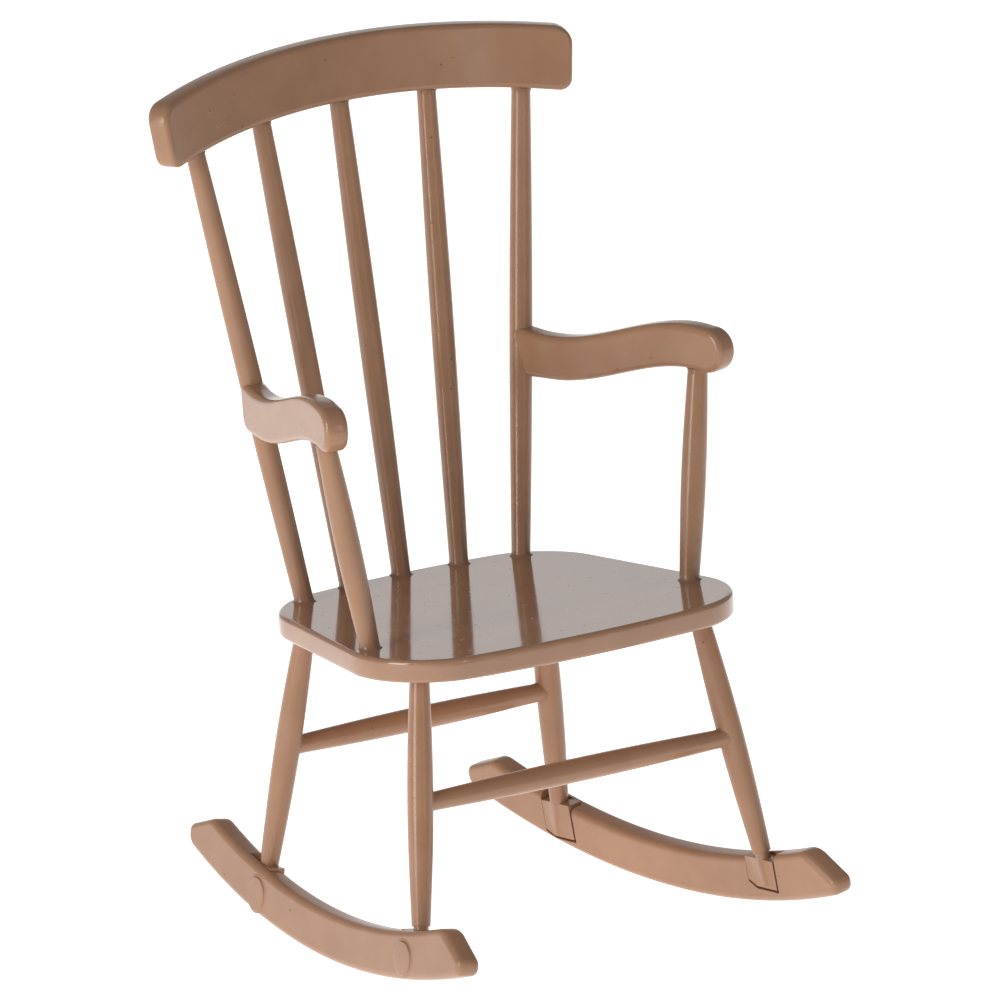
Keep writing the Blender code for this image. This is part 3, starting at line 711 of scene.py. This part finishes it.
def rocker_outline():
    """Along and up, in the rocker's own plane."""

    def on_bottom(x):
        return Vector((x, arc_height(x, ROCKER_BOTTOM, ROCKER_BOTTOM_ARC)))

    def on_top(x):
        return Vector((x, arc_height(x, ROCKER_TOP, ROCKER_TOP_ARC)))

    def between(first, last):
        run = last - first
        return [first + run * i / ROCKER_STATIONS for i in range(1, ROCKER_STATIONS)]

    toe = on_bottom(ROCKER_FRONT)
    heel = on_bottom(ROCKER_REAR)
    chamfer = on_top(ROCKER_FRONT - ROCKER_CHAMFER)
    crown = on_top(ROCKER_REAR + ROCKER_TAIL_CUT)
    corners = [(heel, ROCKER_HEEL_CORNER)]
    corners += [(on_bottom(x), 0) for x in between(heel.x, toe.x)]
    corners.append((toe, ROCKER_NOSE_CORNER))
    corners.append((toe + Vector((0, ROCKER_NOSE)), ROCKER_NOSE_CORNER))
    corners.append((chamfer, ROCKER_CHAMFER_CORNER))
    corners += [(on_top(x), 0) for x in between(chamfer.x, crown.x)]
    corners.append((crown, ROCKER_CROWN_CORNER))
    corners.append((heel + Vector((0, ROCKER_TAIL)), ROCKER_TAIL_CORNER))
    return filleted(corners, ROCKER_CORNER_STEPS)


def tab_outline(end, room):
    """The slot, or with no room the tab that fills it, as seen from the side."""
    middle = foot_along(end)
    rear = middle - TAB_WIDE / 2 - (SLOT_PLAY if room else 0)
    front = middle + TAB_WIDE / 2 + (TAB_GAP if room else 0)
    floor = -TAB_DROP - (TAB_GAP if room else 0)
    roof = SLOT_ROOF if room else arc_height(middle, ROCKER_TOP, ROCKER_TOP_ARC) - TAB_LOW
    return [
        Vector((rear, roof)),
        Vector((rear, floor + TAB_CUT / 2)),
        Vector((rear + TAB_CUT, floor)),
        Vector((front, floor)),
        Vector((front, roof)),
    ]


def join_or_cut(bm, tool, operation):
    """The first mesh with the second joined on or cut out of it."""
    things = []
    for source in (bm, tool):
        mesh = bpy.data.meshes.new("work")
        source.to_mesh(mesh)
        source.free()
        thing = bpy.data.objects.new("work", mesh)
        bpy.context.scene.collection.objects.link(thing)
        things.append(thing)
    boolean = things[0].modifiers.new("boolean", "BOOLEAN")
    boolean.operation = operation
    boolean.solver = "EXACT"
    boolean.object = things[1]
    graph = bpy.context.evaluated_depsgraph_get()
    result = bmesh.new()
    result.from_object(things[0], graph)
    for thing in things:
        bpy.data.objects.remove(thing, do_unlink=True)
    return result


def soften(piece, width):
    """Rounds the sharp edges that a joint leaves, as the paint does."""
    bevel = piece.modifiers.new("paint_on_edges", "BEVEL")
    bevel.width = width
    bevel.segments = 2
    bevel.limit_method = "ANGLE"
    bevel.angle_limit = SLOT_BEND
    bevel.harden_normals = False


for side_name, side in SIDES.items():
    rocker_matrix, outwards = rocker_frame(side)
    outside = outwards * ROCKER_THICK
    rocker_mesh = soft_plate(rocker_outline(), 0, outside, ROCKER_RIM, ROCKER_RIM_STEPS)
    for end in LEG_FEET:
        slot_floor = outwards * (TAB_DEEP + SLOT_DEEPER)
        slot = plain_plate(tab_outline(end, True), -outwards * SLOT_START, slot_floor)
        rocker_mesh = join_or_cut(rocker_mesh, slot, "DIFFERENCE")
    node = "rocker_" + side_name
    material = enamel(node + "_enamel", ROCKER_ROUGH)
    rocker = finish_piece("rocker_bar_" + side_name, rocker_mesh, stand @ rocker_matrix, node, material)
    rocker.data.set_sharp_from_angle(angle=ROCKER_CREASE)
    soften(rocker, SLOT_EDGE)

# The legs: four splayed round rods, thickest in the middle. Each foot turns into a flat tab, flush
# with the rocker's inner face, with the lower rear corner cut off and the shaft standing out of it.
LEG_FOOT = 2.5 * MM
LEG_MIDDLE = 3.45 * MM
LEG_HEAD = 2.6 * MM
LEG_SUNK = (TAB_DROP - 0.4 * MM, 1.0 * MM)
LEG_FILLETS = (0, 1)  # none at the foot, where the tab is
LEG_CREASE = math.radians(45)

legs = {}
for side_name, side in SIDES.items():
    rocker_matrix, outwards = rocker_frame(side)
    for end in LEG_FEET:
        foot = Vector((side * LEG_FEET[end].x, LEG_FEET[end].y, FOOT_Z))
        head = Vector((side * LEG_TOPS[end].x, LEG_TOPS[end].y, SEAT_TOP - SEAT_THICK))
        legs[end, side_name] = (foot, head)
        upright = axis_matrix(foot, head)
        unturn = upright.to_3x3().inverted()
        leg_mesh = painted_rod(
            foot,
            head,
            (LEG_FOOT, LEG_MIDDLE, LEG_HEAD),
            flat_at(LEVEL),
            flat_at(unturn @ LEVEL),
            deep=LEG_SUNK,
            fillets=LEG_FILLETS,
        )
        leg_mesh.transform(upright)
        tab = plain_plate(tab_outline(end, False), 0, outwards * TAB_DEEP)
        tab.transform(rocker_matrix)
        leg_mesh = join_or_cut(leg_mesh, tab, "UNION")
        node = f"leg_{end}_{side_name}"
        material = enamel(node + "_enamel")
        leg = finish_piece(f"leg_rod_{end}_{side_name}", leg_mesh, stand, node, material)
        leg.data.set_sharp_from_angle(angle=LEG_CREASE)
        soften(leg, SLOT_EDGE)

# The stretchers: a plain round rod between the two front legs and one between the two rear legs,
# let into the round of each leg. The paint has run down into the corners.
STRETCHER_END = 2.5 * MM
STRETCHER_MIDDLE = 3.2 * MM
STRETCHER_Z = {"front": 26.6 * MM, "rear": 27.0 * MM}
STRETCHER_SUNK = (0.9 * MM, 0.9 * MM)
STRETCHER_FILLETS = (0.45, 0.45)
LEAST_SPREAD = 0.2  # as a share of the leg's radius, where the rod is wider than the leg


def round_at(direction, radius):
    """As flat_at, for the side of a round leg. The direction is that of the leg's axis in the rod's
    frame, and the rod's end lies one radius away from that axis."""

    def rise(x, y):
        lean = x * direction.x + y * direction.y
        steep = 1 - direction.z**2
        gap = x * x + y * y - lean * lean - radius * radius
        spread = max((direction.z * lean) ** 2 - steep * gap, (LEAST_SPREAD * radius) ** 2)
        return (direction.z * lean + math.sqrt(spread)) / steep - radius

    return rise


for end, height in STRETCHER_Z.items():
    ends = []
    for side_name in SIDES:
        foot, head = legs[end, side_name]
        share = (height - foot.z) / (head.z - foot.z)
        round_there = swelling(share, LEG_FOOT, LEG_MIDDLE, LEG_HEAD)
        ends.append((foot.lerp(head, share), (head - foot).normalized(), round_there))
    (first, first_leg, first_round), (last, last_leg, last_round) = ends
    run = (last - first).normalized()
    first_face = first + run * first_round
    last_face = last - run * last_round
    crosswise = axis_matrix(first_face, last_face)
    unturn = crosswise.to_3x3().inverted()
    near_rise = round_at(unturn @ first_leg, first_round)
    far_side = unturn @ last_leg
    far_side.z = -far_side.z
    far_rise = round_at(far_side, last_round)
    stretcher_mesh = painted_rod(
        first_face,
        last_face,
        (STRETCHER_END, STRETCHER_MIDDLE, STRETCHER_END),
        near_rise,
        lambda x, y, rise=far_rise: -rise(x, y),
        deep=STRETCHER_SUNK,
        fillets=STRETCHER_FILLETS,
    )
    node = "stretcher_" + end
    matrix = stand @ crosswise
    finish_piece("stretcher_rod_" + end, stretcher_mesh, matrix, node, enamel(node + "_enamel"))

# The pins: low round heads in the outer faces of the rockers, one for each tab. They were painted
# over with the rest, so each is a soft disc with a shallow ring round it.
PIN_WIDE = 4.5 * MM
PIN_PROUD = 0.25 * MM
PIN_DROP = 0.4 * MM
PIN_AHEAD = {"front": 0.2 * MM, "rear": 1.6 * MM}  # of the leg's foot
PIN_SUNK = 0.3 * MM
PIN_RIM_STEPS = 5
PIN_SKIRT = 0.35 * MM


def pin_profile():
    """From the middle of the head out to where its paint runs out on the rocker, and back inside."""
    radius = PIN_WIDE / 2
    rim = PIN_PROUD / 2
    points = [(0, PIN_PROUD), (radius * 0.5, PIN_PROUD)]
    for i in range(PIN_RIM_STEPS + 1):
        angle = math.pi / 2 * i / PIN_RIM_STEPS
        points.append((radius - rim + rim * math.sin(angle), PIN_PROUD - rim + rim * math.cos(angle)))
    for i in range(1, PIN_RIM_STEPS + 1):
        angle = math.pi / 2 * i / PIN_RIM_STEPS
        out = PIN_SKIRT * (1 - math.cos(angle))
        points.append((radius + out, rim * (1 - math.sin(angle))))
    points += [(radius + PIN_SKIRT, -PIN_SUNK), (0, -PIN_SUNK)]
    return points


for side_name, side in SIDES.items():
    rocker_matrix, outwards = rocker_frame(side)
    for end in LEG_FEET:
        along = foot_along(end) + PIN_AHEAD[end]
        top = arc_height(along, ROCKER_TOP, ROCKER_TOP_ARC)
        bottom = arc_height(along, ROCKER_BOTTOM, ROCKER_BOTTOM_ARC)
        up = (top + bottom) / 2 - PIN_DROP
        outside = outwards * ROCKER_THICK
        centre = rocker_matrix @ Vector((along, up, outside))
        beyond = rocker_matrix @ Vector((along, up, 2 * outside))
        pin_mesh = turned(pin_profile())
        node = f"rocker_pin_{end}_{side_name}"
        matrix = stand @ axis_matrix(centre, beyond)
        material = enamel(node + "_enamel", ROCKER_ROUGH)
        finish_piece(f"pin_head_{end}_{side_name}", pin_mesh, matrix, node, material)

# The floor and the light: a white table that glows, a tall soft light on the sitter's right, a
# pale card behind that the seat mirrors, a faint strip in front, and a dim room, so that what faces
# up or forwards is darker.
FLOOR_HALF = 1.5
FLOOR_GLOW = 0.95
FLOOR_COLOUR = (0.8, 0.8, 0.8, 1)
FLOOR_ROUGH = 0.7
FLOOR_SHINE = 0.1
WHITE = (1, 1, 1, 1)
ROOM = 0.28
LIGHTS = (  # name, place, width, height, watts
    ("tall_light", Vector((-0.95, -0.1, 0.35)), 0.4, 0.6, 4.5),
    ("back_card", Vector((0.6, 0.95, 0.2)), 0.9, 0.42, 0.72),
    ("front_strip", Vector((0.1, -1.2, 0.45)), 0.12, 0.5, 0.5),
)

floor_mesh = bmesh.new()
bmesh.ops.create_grid(floor_mesh, x_segments=1, y_segments=1, size=FLOOR_HALF)
floor_data = bpy.data.meshes.new("floor")
floor_mesh.to_mesh(floor_data)
floor_mesh.free()
floor = bpy.data.objects.new("floor", floor_data)
bpy.context.scene.collection.objects.link(floor)
floor_paint = bpy.data.materials.new("floor_white")
floor_paint.use_nodes = True
floor_shader = floor_paint.node_tree.nodes["Principled BSDF"]
floor_shader.inputs["Base Color"].default_value = FLOOR_COLOUR
floor_shader.inputs["Roughness"].default_value = FLOOR_ROUGH
floor_shader.inputs["Specular IOR Level"].default_value = FLOOR_SHINE
floor_shader.inputs["Emission Color"].default_value = WHITE
floor_shader.inputs["Emission Strength"].default_value = FLOOR_GLOW
floor_data.materials.append(floor_paint)

for name, where, wide, high, watts in LIGHTS:
    lamp = bpy.data.lights.new(name, "AREA")
    lamp.shape = "RECTANGLE"
    lamp.size = wide
    lamp.size_y = high
    lamp.energy = watts
    light = bpy.data.objects.new(name, lamp)
    light.location = where
    light.rotation_euler = (where - box_middle).to_track_quat("Z", "Y").to_euler()
    bpy.context.scene.collection.objects.link(light)

world = bpy.data.worlds.new("room")
bpy.context.scene.world = world
world.use_nodes = True
world.node_tree.nodes["Background"].inputs["Color"].default_value = WHITE
world.node_tree.nodes["Background"].inputs["Strength"].default_value = ROOM
bpy.context.scene.view_settings.view_transform = "Standard"
